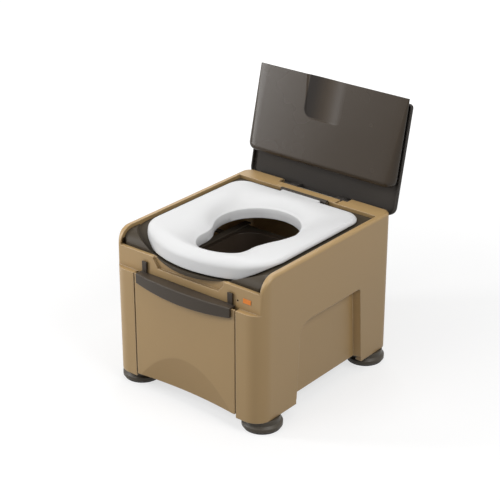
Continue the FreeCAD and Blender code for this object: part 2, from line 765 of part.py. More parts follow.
def lid_rear():
    """Rear half: a shallow tray that lies flange down on the rims when the lid is closed."""
    outer = rounded_box(-lid_half, lid_half, -lid_tail, rear_end_u, 0, lid_flange, lid_tail_r, lid_end_r)
    back = [e for e in outer.Edges if abs(e.BoundBox.ZMax) < 0.01]
    outer = outer.makeFillet(lid_edge_r, back)
    half = lid_half - lid_t
    inner = rounded_box(-half, half, lid_t - lid_tail, rear_end_u - lid_t, lid_t, 2 * lid_flange,
                        lid_tail_r - lid_t, lid_end_r - lid_t)
    tray = outer.cut(inner)
    # room for the finger hollow of the front half when the lid is spread
    notch = box(lid_scoop_left - 2 * lid_t, lid_scoop_right + 2 * lid_t,
                rear_end_u - 3 * lid_t, far, -1, far)
    tray = tray.cut(notch)
    # the wall at the fold passes over the seat when the lid is closed
    over_seat = hinge_z + hinge_n - seat_z - lid_seat_gap
    clear = seat_half + lid_seat_gap
    tray = tray.cut(box(-clear, clear, rear_end_u - 2 * lid_t, far, over_seat, far))
    for x in (-hinge_arm_x - hinge_arm_w, hinge_arm_x):
        arm = box(x, x + hinge_arm_w, -lid_tail, hinge_knuckle_r, lid_t / 2, hinge_n)
        arm = arm.fuse(cylinder_x(hinge_knuckle_r, x, x + hinge_arm_w, 0, hinge_n))
        tray = tray.fuse(arm)
    tray = tray.cut(cylinder_x(hinge_pin_r + running_gap, -far, far, 0, hinge_n))
    for side in (-1, 1):
        tray = tray.fuse(fold_knuckle(side))
    tray = tray.cut(cylinder_x(fold_pin_r, -far, far, fold_u, fold_n))
    return lid_place(one(tray))


def fold_knuckle(side):
    """Barrel of the rear half with the web that ties it to the wall at the fold."""
    x0 = knuckle_x
    barrel = cylinder_x(fold_knuckle_r, x0, x0 + fold_knuckle_w, fold_u, fold_n)
    web = box(x0, x0 + fold_knuckle_w, rear_end_u - lid_t, fold_u, fold_n - fold_knuckle_r, fold_n)
    barrel = barrel.fuse(web)
    return barrel if side > 0 else barrel.mirror(V(0, 0, 0), V(1, 0, 0))


def face_n(u):
    """Level of the front half's outer face at a distance up the lid."""
    return front_back_n + front_t + (fold_u + fold_lip - u) * math.tan(math.radians(front_lean))


def front_section(u, half, top, r):
    """Section across the front half, with its two outer corners rounded."""
    knee = r * (1 - math.sqrt(0.5))
    right = [V(half, u, fold_n), V(half, u, top - r), V(half - knee, u, top - knee), V(half - r, u, top)]
    left = [V(-p.x, p.y, p.z) for p in right]
    return Part.Wire([
        Part.LineSegment(right[0], right[1]).toShape(),
        Part.Arc(right[1], right[2], right[3]).toShape(),
        Part.LineSegment(right[3], left[3]).toShape(),
        Part.Arc(left[3], left[2], left[1]).toShape(),
        Part.LineSegment(left[1], left[0]).toShape(),
        Part.LineSegment(left[0], right[0]).toShape(),
    ])


def front_wedge():
    """The front half's wedge: sides that roll more and more towards a round front edge."""
    low_u = fold_u - front_len
    top_u = fold_u + fold_lip
    low = front_section(low_u, lid_half, face_n(low_u), front_low_r)
    top = front_section(top_u, lid_half, face_n(top_u), front_top_r)
    solid = Part.makeLoft([low, top], True, True)
    end = [f for f in solid.Faces if abs(f.BoundBox.YMax - low_u) < 0.01][0]
    edge = [e for e in end.Edges if e.CenterOfMass.z > fold_n + 1]
    return solid.makeFillet(front_corner, edge)


def bevel(r):
    """Width of the flat bevel that leaves the front half's wall behind an outer roll."""
    return (2 - math.sqrt(2)) * r + (math.sqrt(2) - 1) * front_t


def front_hollow():
    """Inside of the front half, in flat faces a wall away from the rolled outside."""
    low_u = fold_u - front_len
    top_u = fold_u + fold_lip
    end = bevel(front_corner)
    rings = []
    for u, inset, r in ((low_u + front_t, end, front_low_r), (low_u + end, front_t, front_low_r),
                        (top_u, front_t, front_top_r)):
        half = lid_half - inset
        top = face_n(u) - inset
        knee = bevel(r) - front_t
        right = [V(half, u, fold_n), V(half, u, top - knee), V(half - knee, u, top)]
        left = [V(-p.x, p.y, p.z) for p in reversed(right)]
        rings.append(Part.makePolygon(right + left + right[:1]))
    return Part.makeLoft(rings, True, True)


def lid_front():
    """Front half, folded in front of the rear half with its outside to the front."""
    outer = front_wedge()
    shell = outer.cut(front_hollow())
    shell = shell.cut(box(-half_w, half_w, -far, far, 0, front_back_n))
    # finger hollow: a step on the left, a round floor that runs out to the right, open at the fold edge
    top_u = fold_u + fold_lip
    low_u = top_u - lid_scoop_h
    backing = scoop_floor(front_t).common(scoop_outline(front_t, low_u, top_u))
    shell = shell.fuse(backing.common(outer))
    shell = shell.cut(scoop_floor(0).common(scoop_outline(0, low_u, far)))
    for side in (-1, 1):
        shell = shell.fuse(fold_arm(side))
    shell = shell.cut(cylinder_x(fold_pin_r + running_gap, -far, far, fold_u, fold_n))
    return lid_place(one(shell))


def scoop_floor(grow):
    """Cylinder along the front half whose surface is the finger hollow's floor."""
    reach = lid_scoop_right - lid_scoop_floor
    r = (reach ** 2 + lid_scoop_depth ** 2) / (2 * lid_scoop_depth)
    lean = math.radians(front_lean)
    axis = V(0, math.cos(lean), -math.sin(lean))
    out = V(0, math.sin(lean), math.cos(lean))
    foot = V(lid_scoop_floor, fold_u, face_n(fold_u)) + out * (r - lid_scoop_depth)
    return Part.makeCylinder(r + grow, 2 * front_len, foot - axis * front_len, axis)


def scoop_outline(grow, low_u, high_u):
    """Outline of the finger hollow: a slanting left side with a round lower corner."""
    top_left = lid_scoop_left - grow
    left = top_left + lid_scoop_slant
    right = lid_scoop_right + grow
    low = low_u - grow
    r = lid_scoop_r + grow
    knee = r * (1 - math.sqrt(0.5))
    start = V(left, low + r, 0)
    corner = V(left + knee, low + knee, 0)
    base = V(left + r, low, 0)
    rest = [base, V(right, low, 0), V(right, high_u, 0), V(top_left, high_u, 0), start]
    edges = [Part.Arc(start, corner, base).toShape()]
    edges += [Part.LineSegment(p, q).toShape() for p, q in zip(rest, rest[1:])]
    return Part.Face(Part.Wire(edges)).extrude(V(0, 0, far))


def fold_arm(side):
    """Barrel of the front half with its arm up to the plate."""
    x0 = knuckle_x + fold_knuckle_w + side_gap
    barrel = cylinder_x(fold_knuckle_r, x0, x0 + fold_knuckle_w, fold_u, fold_n)
    arm = box(x0, x0 + fold_knuckle_w, fold_u - fold_knuckle_r, fold_u + fold_knuckle_r, fold_n,
              front_back_n + front_t / 2)
    barrel = barrel.fuse(arm)
    return barrel if side > 0 else barrel.mirror(V(0, 0, 0), V(1, 0, 0))


def fold_pin(side):
    x0 = knuckle_x
    x1 = knuckle_x + 2 * fold_knuckle_w + side_gap
    pin = cylinder_x(fold_pin_r, x0, x1, fold_u, fold_n)
    return lid_place(pin if side > 0 else pin.mirror(V(0, 0, 0), V(1, 0, 0)))


def lid_stops():
    """Two rubber studs inside the front half that rest on the rear half when folded."""
    low_u = fold_u - front_len + 2 * front_corner
    slope = math.tan(math.radians(front_lean))
    inner_n = front_back_n + (fold_u + fold_lip - low_u - stop_r) * slope
    studs = []
    for x in (-knuckle_x, knuckle_x):
        studs.append(Part.makeCylinder(stop_r, inner_n - lid_t - slide_gap, V(x, low_u, lid_t + slide_gap)))
    return lid_place(Part.makeCompound(studs))


def hinge_ear(side):
    """Bracket in the hinge bay that holds one end of the lid's hinge pin."""
    x0 = hinge_arm_x + hinge_arm_w + side_gap
    z0 = rim_z - bay_z_drop
    ear = box(x0, x0 + hinge_ear_w, rail_front_y + strap_w, rear_y - fit_gap, z0, hinge_z)
    ear = ear.fuse(cylinder_x(hinge_inset - fit_gap, x0, x0 + hinge_ear_w, hinge_y, hinge_z))
    ear = one(ear.cut(cylinder_x(hinge_pin_r, 0, far, hinge_y, hinge_z)))
    return ear if side > 0 else ear.mirror(V(0, 0, 0), V(1, 0, 0))


def hinge_pin():
    end = hinge_arm_x + hinge_arm_w + side_gap + hinge_ear_w
    return cylinder_x(hinge_pin_r, -end, end, hinge_y, hinge_z)


# Feet

def foot_spot(side, end):
    y = front_y + foot_front_y if end == "front" else rear_y - foot_rear_y
    return side * foot_x, y


def socket(side, end):
    """Plug in a leg's foot: a plate that fills the leg and a boss for the foot's stem."""
    x, y = foot_spot(side, end)
    inner = half_w - wall - fit_gap
    block = rounded_box(-inner, inner, front_y + wall + fit_gap, rear_y - wall - fit_gap, leg_z,
                        leg_z + socket_t, front_corner_r - wall, rear_corner_r - wall)
    near = opening_half + wall + fit_gap
    cell = box(near, half_w, y - foot_r - wall, y + foot_r + wall, 0, rim_z)
    plate = block.common(cell if side > 0 else cell.mirror(V(0, 0, 0), V(1, 0, 0)))
    plate = plate.cut(both_sides(recess(wall + fit_gap)))
    plate = plate.fuse(cylinder_z(boss_r, x, y, leg_z, leg_z + boss_h))
    return one(plate.cut(cylinder_z(stem_r + running_gap, x, y, 0, rim_z)))


def foot(side, end):
    """Round adjuster foot with its stem, turned from one outline."""
    x, y = foot_spot(side, end)
    top = leg_z - foot_gap
    slope_z = foot_rim_h + (foot_r - foot_top_r)
    points = [V(0, 0, foot_pad_t), V(foot_r - foot_edge, 0, foot_pad_t), V(foot_r, 0, foot_pad_t + foot_edge),
              V(foot_r, 0, foot_rim_h), V(foot_top_r, 0, slope_z), V(foot_top_r, 0, top),
              V(stem_r, 0, top), V(stem_r, 0, top + stem_h), V(0, 0, top + stem_h)]
    outline = Part.Face(Part.makePolygon(points + points[:1]))
    turned = outline.revolve(V(0, 0, 0), V(0, 0, 1), 360)
    turned.translate(V(x, y, 0))
    return one(turned)


def foot_pad(side, end):
    x, y = foot_spot(side, end)
    return cylinder_z(foot_r - foot_pad_inset, x, y, 0, foot_pad_t)


def lid_rear_reach():
    """Y of the open lid's rearmost corner."""
    return hinge_y + rear_end_u * math.sin(lean) + hinge_n * math.cos(lean)


sides = {"left": -1, "right": 1}
pieces = {
    "body_shell": body_shell(),
    "seat_frame": seat_frame(),
    "hinge_strap": hinge_strap(),
    "marker": marker(),
    "lid_hinge_pin": hinge_pin(),
    "seat_hinge_pin": seat_pin(),
    "seat": seat(),
    "seat_bumpers": seat_bumpers(),
    "seat_hinge_leaf": seat_hinge_leaf(),
    "drawer_front": drawer_front(),
    "drawer_handle": drawer_handle(),
    "drawer_tray": drawer_tray(),
    "pail": pail(),
    "lid_rear": lid_rear(),
    "lid_front": lid_front(),
    "lid_stops": lid_stops(),
}
for name, side in sides.items():
    pieces["runner_" + name] = runner(side)
    pieces["lid_hinge_ear_" + name] = hinge_ear(side)
    pieces["seat_hinge_ear_" + name] = seat_ear(side)
    pieces["lid_fold_pin_" + name] = fold_pin(side)
    for end in ("front", "rear"):
        pieces["leg_socket_" + end + "_" + name] = socket(side, end)
        pieces["foot_" + end + "_" + name] = foot(side, end)
        pieces["foot_pad_" + end + "_" + name] = foot_pad(side, end)

front_reach = front_y - handle_reach - handle_bow
shift = V(0, -(front_reach + lid_rear_reach()) / 2, 0)
os.makedirs("parts", exist_ok=True)
for name, shape in pieces.items():
    shape.translate(shift)
    shape.exportStep("parts/" + name + ".step")
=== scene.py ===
import json
import math
import bmesh
import bpy
from mathutils import Euler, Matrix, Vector


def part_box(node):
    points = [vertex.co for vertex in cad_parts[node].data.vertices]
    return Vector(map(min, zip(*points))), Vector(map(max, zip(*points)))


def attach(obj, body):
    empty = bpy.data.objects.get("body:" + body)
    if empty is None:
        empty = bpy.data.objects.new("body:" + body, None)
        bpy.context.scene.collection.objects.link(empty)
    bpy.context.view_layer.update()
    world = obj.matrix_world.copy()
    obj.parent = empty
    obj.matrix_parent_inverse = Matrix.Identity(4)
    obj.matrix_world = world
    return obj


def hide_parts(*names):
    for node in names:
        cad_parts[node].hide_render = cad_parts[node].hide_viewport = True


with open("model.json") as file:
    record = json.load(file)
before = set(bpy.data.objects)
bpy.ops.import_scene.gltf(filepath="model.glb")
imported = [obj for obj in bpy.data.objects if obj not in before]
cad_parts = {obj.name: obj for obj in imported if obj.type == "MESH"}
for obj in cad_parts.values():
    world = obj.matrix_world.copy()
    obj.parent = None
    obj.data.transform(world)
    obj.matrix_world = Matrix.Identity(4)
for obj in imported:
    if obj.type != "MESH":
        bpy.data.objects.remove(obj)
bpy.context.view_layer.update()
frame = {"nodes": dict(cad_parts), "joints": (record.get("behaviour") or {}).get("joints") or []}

# Body shell
# One large injection moulding in tan polypropylene: rims, rails, side recesses and four legs. Its skin has
# a fine grain and burnished corners with painted highlight, and a plain orange block is pressed into the
# front rail.


class Val:
    """A node's output that takes part in plain arithmetic."""

    def __init__(self, nodes, socket):
        self.nodes = nodes
        self.socket = socket

    def also(self, out):
        """Another output of the same node."""
        return Val(self.nodes, self.socket.node.outputs[out])

    def _math(self, kind, a, b):
        return self.nodes.add("ShaderNodeMath", {"operation": kind}, {0: a, 1: b})

    def __add__(self, other):
        return self._math("ADD", self, other)

    __radd__ = __add__

    def __sub__(self, other):
        return self._math("SUBTRACT", self, other)

    def __rsub__(self, other):
        return self._math("SUBTRACT", other, self)

    def __mul__(self, other):
        return self._math("MULTIPLY", self, other)

    __rmul__ = __mul__

    def __pow__(self, other):
        return self._math("POWER", self, other)

    def at_least(self, other):
        return self._math("MAXIMUM", self, other)


class Nodes:
    """A node tree, with one method that makes every node in it."""

    def __init__(self, tree):
        self.tree = tree

    def join(self, value, socket):
        """Link a value to a socket, or set the socket to a plain number or colour."""
        if isinstance(value, Val):
            self.tree.links.new(value.socket, socket)
        else:
            socket.default_value = value

    def add(self, kind, settings=None, inputs=None, out=0):
        """A node with its settings first, then the values or links of its sockets."""
        made = self.tree.nodes.new(kind)
        for key, value in (settings or {}).items():
            setattr(made, key, value)
        for key, value in (inputs or {}).items():
            self.join(value, made.inputs[key])
        return Val(self, made.outputs[out]) if len(made.outputs) else None

    def blend(self, share, first, second):
        """Two colours mixed by a share of the second."""
        first, second = [c if isinstance(c, Val) else (*c, 1.0) for c in (first, second)]
        return self.add("ShaderNodeMix", {"data_type": "RGBA"}, {"Factor": share, 6: first, 7: second}, out=2)

    def ramp(self, value, start, stop, low=0.0, high=1.0, kind="LINEAR"):
        """A value's run from start to stop as a run from low to high."""
        return self.add("ShaderNodeMapRange", {"interpolation_type": kind}, {
            "Value": value, "From Min": start, "From Max": stop, "To Min": low, "To Max": high})


class Finish(Nodes):
    """A surface finish: one material with its shader and the nodes that vary it."""

    def __init__(self, name):
        self.material = bpy.data.materials.new(name)
        self.material.use_nodes = True
        super().__init__(self.material.node_tree)
        self.shader = self.tree.nodes["Principled BSDF"]
        self.place = self.add("ShaderNodeTexCoord", out="Object")

    def feed(self, **sockets):
        """Values or links for the sockets of the shader."""
        for key, value in sockets.items():
            self.join(value, self.shader.inputs[key.replace("_", " ")])
        return self


def moulding(name, colour, rubbed_and_highlit, rough, grain, grain_depth, edge, gloss=0.5, gap=0.010):
    """Moulded plastic: faint flow marks, a fine grain, burnish and painted highlight on edges, painted shade
    in gaps.
    """
    f = Finish(name)
    flow = f.add("ShaderNodeTexNoise", {}, {
        "Vector": f.place, "Scale": 5.0, "Detail": 3.0, "Roughness": 0.55})
    speck = f.add("ShaderNodeTexNoise", {}, {
        "Vector": f.place, "Scale": grain, "Detail": 2.0, "Roughness": 0.6})
    round_edge = f.add("ShaderNodeBevel", {"samples": 6}, {"Radius": edge})
    true_face = f.add("ShaderNodeNewGeometry", out="Normal")
    flatness = f.add("ShaderNodeVectorMath", {"operation": "DOT_PRODUCT"}, {
        0: round_edge, 1: true_face}, out="Value")
    rub_and_highlight = f.ramp(flatness, 0.995, 0.86)
    open_air = f.add("ShaderNodeAmbientOcclusion", {"samples": 6}, {"Distance": gap}, out="AO")
    dull = [c * 0.93 for c in colour]
    painted_gap_shade = [c * 0.30 for c in colour]
    skin = f.blend(flow, dull, colour)
    # burnish and painted highlight: the colour pales along rounded edges, found from the bevelled normal
    skin = f.blend(rub_and_highlight * (0.50 + 0.3 * flow), skin, rubbed_and_highlit)
    # painted shade: the colour darkens towards a dim tone where ambient occlusion finds gaps, corners and
    # hollows
    f.tone = f.blend(0.80 * (1 - open_air), skin, painted_gap_shade)
    f.dullness = rough + 0.10 * flow - 0.08 * rub_and_highlight
    bump = f.add("ShaderNodeBump", {}, {
        "Height": speck, "Strength": 0.35, "Distance": grain_depth, "Normal": round_edge})
    return f.feed(Base_Color=f.tone, Roughness=f.dullness, Normal=bump, Specular_IOR_Level=gloss)


def wear(finish, *names):
    """Give CAD pieces a finish."""
    for name in names:
        coats = frame["nodes"][name].data.materials
        coats.clear()
        coats.append(finish.material)


tan_plastic = dict(colour=(0.440, 0.287, 0.124), rubbed_and_highlit=(0.68, 0.54, 0.36), rough=0.38,
                   grain=1400.0, grain_depth=0.00006, edge=0.0022, gloss=0.6, gap=0.016)
tan_moulding = moulding("tan moulding", **tan_plastic)
wear(tan_moulding, "body_shell")
signal_orange = moulding("signal orange", colour=(0.92, 0.265, 0.030), rubbed_and_highlit=(0.94, 0.40, 0.10), rough=0.35,
                         grain=900.0, grain_depth=0.00003, edge=0.0006)
wear(signal_orange, "marker")

# Legs and feet
# Each leg is closed by a dark plug with a threaded boss, held by two pan-head screws. A round brown foot
# screws into the boss, and a rubber disc pressed into its underside keeps it from sliding.
leg_plug = moulding("leg plug", colour=(0.045, 0.036, 0.027), rubbed_and_highlit=(0.075, 0.062, 0.048), rough=0.5,
                    grain=900.0, grain_depth=0.00008, edge=0.0012, gloss=0.3)
foot_moulding = moulding("foot moulding", colour=(0.075, 0.062, 0.045), rubbed_and_highlit=(0.13, 0.112, 0.085), rough=0.38,
                         grain=1100.0, grain_depth=0.00007, edge=0.0016, gloss=0.35)
foot_rubber = moulding("foot rubber", colour=(0.022, 0.020, 0.018), rubbed_and_highlit=(0.05, 0.045, 0.04), rough=0.8,
                       grain=700.0, grain_depth=0.00012, edge=0.0008)
for leg in ("front_left", "front_right", "rear_left", "rear_right"):
    wear(leg_plug, "leg_socket_" + leg)
    wear(foot_moulding, "foot_" + leg)
    wear(foot_rubber, "foot_pad_" + leg)

zinc = Finish("zinc screw")
mottle = zinc.add("ShaderNodeTexNoise", {}, {"Vector": zinc.place, "Scale": 900.0, "Detail": 2.0})
zinc.feed(Base_Color=zinc.blend(mottle, (0.36, 0.36, 0.35), (0.52, 0.52, 0.50)),
          Metallic=1.0, Roughness=0.28 + 0.2 * mottle)

screw_tree = bpy.data.node_groups.new("screws", "GeometryNodeTree")
screw_sockets = screw_tree.interface
screw_sockets.new_socket("Geometry", in_out="OUTPUT", socket_type="NodeSocketGeometry")
screw_sockets.new_socket("Spots", in_out="INPUT", socket_type="NodeSocketGeometry")
screw_size = {}
for size in ("Head Radius", "Head Height", "Recess Depth"):
    made = screw_sockets.new_socket(size, in_out="INPUT", socket_type="NodeSocketFloat")
    screw_size[size] = made.identifier
screws = Nodes(screw_tree)
given = screws.add("NodeGroupInput", out="Spots")
head_height = given.also("Head Height")
blank = screws.add("GeometryNodeMeshCylinder", {"fill_type": "NGON"}, {
    "Vertices": 18, "Side Segments": 1,
    "Radius": given.also("Head Radius"), "Depth": head_height}, out="Mesh")
domed = screws.add("GeometryNodeScaleElements", {"domain": "FACE"}, {
    "Geometry": blank, "Selection": blank.also("Top"), "Scale": 0.78})
ringed = screws.add("GeometryNodeExtrudeMesh", {"mode": "FACES"}, {
    "Mesh": domed, "Selection": blank.also("Top"), "Offset Scale": 0.0}, out="Mesh")
narrowed = screws.add("GeometryNodeScaleElements", {"domain": "FACE"}, {
    "Geometry": ringed, "Selection": ringed.also("Top"), "Scale": 0.55})
socketed = screws.add("GeometryNodeExtrudeMesh", {"mode": "FACES"}, {
    "Mesh": narrowed, "Selection": ringed.also("Top"),
    "Offset Scale": given.also("Recess Depth") * -1.0}, out="Mesh")
lift = screws.add("ShaderNodeCombineXYZ", {}, {"Z": head_height * 0.5})
head = screws.add("GeometryNodeTransform", {}, {"Geometry": socketed, "Translation": lift})
facing = screws.add("GeometryNodeInputNamedAttribute", {"data_type": "FLOAT_VECTOR"}, {
    "Name": "facing"}, out="Attribute")
turned = screws.add("FunctionNodeAlignRotationToVector", {"axis": "Z"}, {"Vector": facing})
driven = screws.add("GeometryNodeInstanceOnPoints", {}, {
    "Points": given, "Instance": head, "Rotation": turned})
real = screws.add("GeometryNodeRealizeInstances", {}, {"Geometry": driven})
plated = screws.add("GeometryNodeSetMaterial", {}, {"Geometry": real, "Material": zinc.material})
screws.add("NodeGroupOutput", {}, {"Geometry": plated})


def screwed(name, spots, radius, height, recess, body):
    """Screw heads of one size at spots on a body, each with the way it faces."""
    mesh = bpy.data.meshes.new(name + "_spots")
    mesh.from_pydata([place for place, way in spots], [], [])
    ways = mesh.attributes.new("facing", "FLOAT_VECTOR", "POINT")
    for i, (place, way) in enumerate(spots):
        ways.data[i].vector = way
    heads = bpy.data.objects.new(name, mesh)
    bpy.context.scene.collection.objects.link(heads)
    modifier = heads.modifiers.new("screws", "NODES")
    modifier.node_group = screw_tree
    for size, value in (("Head Radius", radius), ("Head Height", height), ("Recess Depth", recess)):
        modifier[screw_size[size]] = value
    made = bpy.data.meshes.new_from_object(heads.evaluated_get(bpy.context.evaluated_depsgraph_get()))
    heads.modifiers.remove(modifier)
    heads.data = made
    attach(heads, body)


screw_inset, corner_inset = 0.007, 0.009
front_low, front_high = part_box("leg_socket_front_right")
rear_low, rear_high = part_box("leg_socket_rear_right")
near = front_low[0] + screw_inset
plug_places = ((near, front_low[1] + screw_inset), (near, front_high[1] - screw_inset),
               (near, rear_low[1] + screw_inset), (rear_high[0] - corner_inset, rear_low[1] + screw_inset))
plug_spots = [((side * x, y, front_low[2]), (0, 0, -1)) for side in (-1, 1) for x, y in plug_places]
screwed("leg_plug_screws", plug_spots, radius=0.0036, height=0.0020, recess=0.0012, body="body")

# Seat frame
# A dark insert dropped between the rims onto their shelves. Its front rolls down to the rail and is
# hollowed into a bed for the seat; two ears at the rear hold the seat's steel hinge rod.
frame_moulding = moulding("frame moulding", colour=(0.052, 0.040, 0.026), rubbed_and_highlit=(0.09, 0.073, 0.052),
                          rough=0.44, grain=1100.0, grain_depth=0.00007, edge=0.0016, gloss=0.22)
wear(frame_moulding, "seat_frame")
wear(leg_plug, "seat_hinge_ear_left", "seat_hinge_ear_right")

hinge_rod = Finish("hinge rod")
along_rod = hinge_rod.add("ShaderNodeMapping", {}, {"Vector": hinge_rod.place, "Scale": (3.0, 900.0, 900.0)})
drawn_lines = hinge_rod.add("ShaderNodeTexNoise", {}, {"Vector": along_rod, "Scale": 1.0, "Detail": 2.0})
hinge_rod.feed(Base_Color=hinge_rod.blend(drawn_lines, (0.42, 0.42, 0.41), (0.62, 0.62, 0.60)),
               Metallic=1.0, Roughness=0.22 + 0.2 * drawn_lines)
wear(hinge_rod, "seat_hinge_pin")

# Seat
# A white moulding over a stiff core, with a keyhole opening, a dished top and a skirt over the frame's bed.
# A leaf screwed under its rear tab turns on the steel rod, and four rubber buttons keep it off its frame.
seat_low, seat_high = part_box("seat")
seat_half, seat_front, seat_top = seat_high[0], seat_low[1], seat_high[2]
tab_half, tab_root, tab_reach, tab_below = 0.058, 0.009, 0.005, 0.001
seat_rear = seat_high[1] - tab_reach
rim_t, skirt_deep, skirt_draft, edge_soft = 0.011, 0.043, 0.12, 0.0015
skirt_in, skirt_up = 0.0004, 0.0006
rim_round, rim_low = 0.014, 0.0085
seat_base = seat_top - rim_t
dish_depth, dish_power = 0.023, 3.0
lip_soft, lip_t, lip_flare, flare_drop = 0.003, 0.013, 0.038, 0.020
lip_top = seat_top - dish_depth
bed_run, bed_r = 0.101, 0.094
bow_r, corner_r, back_r = 0.290, 0.085, 0.045
wide_r, narrow_r, waist_r = 0.105, 0.070, 0.085
hole_front, hole_length = seat_front + 0.073, 0.291
seat_rays, crease = 264, math.radians(42)
bow = Vector((0.0, seat_front + bow_r))
corner_x = seat_half - corner_r
corner = Vector((corner_x, bow.y - math.sqrt((bow_r - corner_r) ** 2 - corner_x ** 2)))
back_corner = Vector((seat_half - back_r, seat_rear - back_r))
narrow = Vector((0.0, hole_front + narrow_r))
wide = Vector((0.0, hole_front + hole_length - wide_r))
span = wide.y - narrow.y
waist_y = wide.y - ((wide_r + waist_r) ** 2 - (narrow_r + waist_r) ** 2 + span ** 2) / (2 * span)
waist = Vector((math.sqrt((wide_r + waist_r) ** 2 - (wide.y - waist_y) ** 2), waist_y))


def from_hole(p):
    """Distance of a point in plan outside the keyhole's edge."""
    p = Vector((abs(p.x), p.y))
    away = p - waist
    if (wide - waist).cross(away) > 0 and away.cross(narrow - waist) > 0:
        return waist_r - away.length
    if p.y > waist.y:
        return (p - wide).length - wide_r
    return (p - narrow).length - narrow_r


def to_rim(p):
    """Distance of a point in plan outside the seat's outline, negative within it."""
    p = Vector((abs(p.x), p.y))
    front_arm = p - corner
    back_arm = p - back_corner
    if front_arm.y <= 0 and (corner - bow).cross(front_arm) >= 0:
        return front_arm.length - corner_r
    if back_arm.x > 0 and back_arm.y > 0:
        return back_arm.length - back_r
    return max(p.x - seat_half, p.y - seat_rear, (p - bow).length - bow_r)


def reach(middle, way, measure, level):
    """How far along a ray from the hole's middle a measure comes up to a level."""
    near, far = 0.0, 0.6
    for _ in range(26):
        half_way = (near + far) / 2
        if measure(middle + way * half_way) < level:
            near = half_way
        else:
            far = half_way
    return near


def underside(y):
    """Level of the seat's underside, which falls with the frame's bed towards the front."""
    run = max(0.0, seat_front + bed_run - y)
    fall = bed_r - math.sqrt(max(0.0, bed_r ** 2 - run ** 2))
    return max(seat_base - fall, seat_top - skirt_deep)


def seat_profile(middle, way):
    """One closed cut through the seat: lip, dished top, rim, skirt, underside and hole wall."""
    edge, land, neck, bowl = [reach(middle, way, from_hole, out) for out in (0.0, lip_soft, lip_t, lip_flare)]
    rim = reach(middle, way, to_rim, 0.0)
    skirt = underside((middle + way * rim).y)
    # the rim is rounder, and the dish flatter, where the skirt falls further
    fall = seat_base - skirt
    rim_r = rim_round + 0.5 * fall
    rim_drop = rim_low + 0.4 * fall
    power = dish_power - 45 * fall
    brow_z = seat_top - rim_drop
    brow = rim - skirt_draft * (brow_z - skirt)
    shoulder = reach(middle, way, to_rim, -rim_r) + brow - rim
    cut = []
    for i in range(3):
        angle = math.pi / 2 * i / 2
        cut.append((edge + (land - edge) * (1 - math.cos(angle)), lip_top - lip_soft * (1 - math.sin(angle))))
    for i in range(1, 19):
        part = i / 18
        cut.append((land + (shoulder - land) * part, lip_top + dish_depth * (1 - (1 - part) ** power)))
    for i in range(1, 9):
        angle = math.pi / 2 * i / 8
        out = shoulder + (brow - shoulder) * math.sin(angle)
        cut.append((out, seat_top - rim_drop * (1 - math.cos(angle))))
    for part in (0.4, 0.8):
        cut.append((brow + (rim - brow) * part, brow_z + (skirt + edge_soft - brow_z) * part))
    cut.append((rim - skirt_in, skirt + skirt_up))
    for i in range(7):
        out = rim - edge_soft + (bowl - rim + edge_soft) * i / 6
        cut.append((out, underside((middle + way * out).y)))
    for i in range(1, 5):
        out = bowl + (neck - bowl) * i / 4
        cut.append((out, min(underside((middle + way * out).y), seat_base - flare_drop * i / 4)))
    base = seat_low[2]
    cut += [(neck, base + edge_soft), (neck - edge_soft, base), (edge + edge_soft, base),
            (edge, base + edge_soft), (edge, (base + lip_top) / 2)]
    return [(*(middle + way * out), level) for out, level in cut]


def soft_block(form, low, high, soft):
    """A block with rounded edges between two corners."""
    made = bmesh.ops.create_cube(form, size=1.0)["verts"]
    for v in made:
        v.co = [low[i] + (high[i] - low[i]) * (v.co[i] + 0.5) for i in range(3)]
    edges = list({e for v in made for e in v.link_edges})
    bmesh.ops.bevel(form, geom=edges, offset=soft, segments=3, profile=0.5, affect="EDGES")


def finished(name, form, finish, body):
    """Turn a mesh in the making into a piece that rides on a body."""
    bmesh.ops.recalc_face_normals(form, faces=form.faces)
    mesh = bpy.data.meshes.new(name)
    form.to_mesh(mesh)
    form.free()
    for face in mesh.polygons:
        face.use_smooth = True
    mesh.set_sharp_from_angle(angle=crease)
    mesh.materials.append(finish.material)
    piece = bpy.data.objects.new(name, mesh)
    bpy.context.scene.collection.objects.link(piece)
    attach(piece, body)
    return piece


def woven(form, rows, closed=True):
    """Faces between neighbouring rows of points, with the rows closed into rings or left open."""
    points = [[form.verts.new(p) for p in row] for row in rows]
    count = len(points[0])
    for a, b in zip(points, points[1:] + points[:1] if closed else points[1:]):
        for i in range(count if closed else count - 1):
            form.faces.new((a[i], a[(i + 1) % count], b[(i + 1) % count], b[i]))
    return points


seat_white = moulding("seat white", colour=(0.74, 0.74, 0.74), rubbed_and_highlit=(0.77, 0.77, 0.77), rough=0.40,
                      grain=1600.0, grain_depth=0.00002, edge=0.003, gloss=0.35)
seat_form = bmesh.new()
hole_middle = (narrow + wide) / 2
rays = [2 * math.pi * i / seat_rays for i in range(seat_rays)]
woven(seat_form, [seat_profile(hole_middle, Vector((math.sin(a), -math.cos(a)))) for a in rays])
soft_block(seat_form, (-tab_half, seat_rear - tab_root, seat_base),
           (tab_half, seat_rear + tab_reach, seat_top - tab_below), edge_soft)
seat_piece = finished("seat_moulding", seat_form, seat_white, "seat_body")
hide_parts("seat")

seat_button = moulding("seat button rubber", colour=(0.03, 0.028, 0.026), rubbed_and_highlit=(0.05, 0.046, 0.042),
                       rough=0.75, grain=700.0, grain_depth=0.0001, edge=0.0008)
wear(seat_button, "seat_bumpers")
wear(leg_plug, "seat_hinge_leaf")
leaf_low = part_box("seat_hinge_leaf")[0]
leaf_row, leaf_near, leaf_far = 0.012, 0.015, 0.044
leaf_places = ((-leaf_far, 2), (-leaf_near, 1), (leaf_near, 1), (leaf_far, 2))
leaf_spots = [((x, leaf_low[1] + leaf_row * row, leaf_low[2]), (0, 0, -1)) for x, row in leaf_places]
screwed("seat_leaf_screws", leaf_spots, radius=0.0038, height=0.0006, recess=0.0003, body="seat_body")
